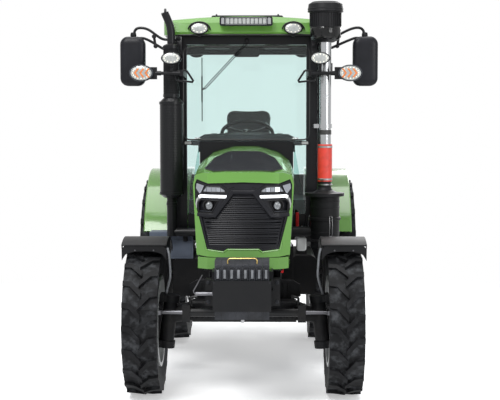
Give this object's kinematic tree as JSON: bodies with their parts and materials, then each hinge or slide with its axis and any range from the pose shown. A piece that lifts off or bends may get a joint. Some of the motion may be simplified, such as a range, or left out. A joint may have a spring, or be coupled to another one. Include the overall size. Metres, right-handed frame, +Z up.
{
  "type": "farm tractor",
  "caption": "Four-wheel-drive farm tractor with a glazed cab, steered front axle, front weights, tilting hood and a rear three-point hitch",
  "frame": {"origin": "on the ground, under the middle of the overall box", "axes": "+Z up, front faces -Y, +X towards the driver's left"},
  "size_m": [1.98, 4.0029, 2.847],
  "materials": {
    "tyre": "ribbed",
    "rim": "satin",
    "paint": "gloss",
    "black_paint": "satin",
    "grey_cast": "painted",
    "steel": "brushed",
    "chrome": "polished",
    "black_plastic": "grained",
    "glass": "clear",
    "lamp": "clear",
    "hose": "smooth",
    "seat": "woven",
    "trim": "grained"
  },
  "bodies": {
    "chassis": {"front_axle": "grey_cast", "steer_cylinder": "black_paint", "front_support": "grey_cast", "front_weights": "grey_cast", "weight_guard": "black_paint", "engine": "grey_cast", "radiator": "black_paint", "gearbox": "grey_cast", "rear_axle": "grey_cast", "nose_band": "paint", "cab_frame": "black_paint", "cab_body": "black_paint", "cab_glass": "glass", "roof": "paint", "roof_hatch": "black_plastic", "rear_fenders": "paint", "dashboard": "trim", "seat_base": "trim", "seat_cushions": "seat", "exhaust": "black_paint", "air_cleaner": "black_plastic", "intake_hose": "hose", "intake_pipe": "chrome", "precleaner": "black_plastic", "mirrors": "black_plastic", "turn_lamps": "lamp", "work_lamps": "lamp", "light_bar": "lamp", "fuel_tank": "black_plastic", "battery_box": "trim", "steps": "black_paint", "pto_guard": "black_paint", "drawbar": "grey_cast"},
    "front_wheel_left": {"front_tyre_left": "tyre", "front_rim_left": "rim"},
    "front_wheel_right": {"front_tyre_right": "tyre", "front_rim_right": "rim"},
    "rear_wheel_left": {"rear_tyre_left": "tyre", "rear_rim_left": "rim"},
    "rear_wheel_right": {"rear_tyre_right": "tyre", "rear_rim_right": "rim"},
    "knuckle_left": {"knuckle_left": "grey_cast", "front_fender_left": "black_plastic"},
    "knuckle_right": {"knuckle_right": "grey_cast", "front_fender_right": "black_plastic"},
    "steer_rod": {"steer_rod": "chrome"},
    "hood": {"hood": "paint", "nose_mask": "black_plastic", "grille": "black_plastic", "headlamps": "lamp"},
    "door_left": {"door_left": "black_paint", "door_glass_left": "glass"},
    "door_right": {"door_right": "black_paint", "door_glass_right": "glass"},
    "steering_wheel": {"steering_wheel": "black_plastic"},
    "lift_arms": {"lift_arms": "grey_cast"},
    "lift_rods": {"lift_rods": "grey_cast"},
    "lower_links": {"lower_links": "grey_cast"},
    "top_link": {"top_link": "grey_cast"},
    "pto_shaft": {"pto_shaft": "steel"}
  },
  "joints": [
    {"name": "steer_left", "type": "hinge", "parent": "chassis", "child": "knuckle_left", "pos_m": [0.543, -1.1, 0.525], "axis": [-0.1132, 0, 0.9936], "range_deg": [-35, 35]},
    {"name": "steer_right", "type": "hinge", "parent": "chassis", "child": "knuckle_right", "pos_m": [-0.543, -1.1, 0.525], "axis": [0.1132, 0, 0.9936], "range_deg": [-35, 35]},
    {"name": "steer_rod", "type": "slide", "parent": "chassis", "child": "steer_rod", "axis": [1, 0, 0], "range_m": [-0.086, 0.086]},
    {"name": "front_wheel_left", "type": "hinge", "parent": "knuckle_left", "child": "front_wheel_left", "pos_m": [0.705, -1.1, 0.525], "axis": [1, 0, 0], "continuous": true},
    {"name": "front_wheel_right", "type": "hinge", "parent": "knuckle_right", "child": "front_wheel_right", "pos_m": [-0.705, -1.1, 0.525], "axis": [1, 0, 0], "continuous": true},
    {"name": "rear_wheel_left", "type": "hinge", "parent": "chassis", "child": "rear_wheel_left", "pos_m": [0.72, 1.05, 0.72], "axis": [1, 0, 0], "continuous": true},
    {"name": "rear_wheel_right", "type": "hinge", "parent": "chassis", "child": "rear_wheel_right", "pos_m": [-0.72, 1.05, 0.72], "axis": [1, 0, 0], "continuous": true},
    {"name": "door_left", "type": "hinge", "parent": "chassis", "child": "door_left", "pos_m": [0.7066, 0.5944, 1.72], "axis": [0, 0, 1], "range_deg": [0, 70]},
    {"name": "door_right", "type": "hinge", "parent": "chassis", "child": "door_right", "pos_m": [-0.7066, 0.5944, 1.72], "axis": [0, 0, -1], "range_deg": [0, 70]},
    {"name": "hood_tilt", "type": "hinge", "parent": "chassis", "child": "hood", "pos_m": [0, -0.355, 1.69], "axis": [-1, 0, 0], "range_deg": [0, 50]},
    {"name": "steering_wheel", "type": "hinge", "parent": "chassis", "child": "steering_wheel", "pos_m": [0, 0.11, 1.85], "axis": [0, 0.5, 0.866], "continuous": true},
    {"name": "hitch_lift", "type": "hinge", "parent": "chassis", "child": "lift_arms", "pos_m": [0, 1.33, 0.94], "axis": [1, 0, 0], "range_deg": [-20, 38]},
    {"name": "lift_rod", "type": "hinge", "parent": "lift_arms", "child": "lift_rods", "pos_m": [0, 1.63698, 0.89686], "axis": [1, 0, 0], "range_deg": [-38, 20]},
    {"name": "lower_link", "type": "hinge", "parent": "chassis", "child": "lower_links", "pos_m": [0, 1.35, 0.54], "axis": [1, 0, 0], "range_deg": [-20, 38]},
    {"name": "top_link", "type": "hinge", "parent": "chassis", "child": "top_link", "pos_m": [0, 1.445, 0.88], "axis": [1, 0, 0], "range_deg": [-20, 25]},
    {"name": "pto_turn", "type": "hinge", "parent": "chassis", "child": "pto_shaft", "pos_m": [0, 1.44, 0.65], "axis": [0, 1, 0], "continuous": true}
  ],
  "couplings": [
    {"joint": "steer_right", "follows": "steer_left", "ratio": 1},
    {"joint": "steer_rod", "follows": "steer_left", "m_per_rad": 0.14},
    {"joint": "lift_rod", "follows": "hitch_lift", "ratio": -1},
    {"joint": "lower_link", "follows": "hitch_lift", "ratio": 1}
  ]
}
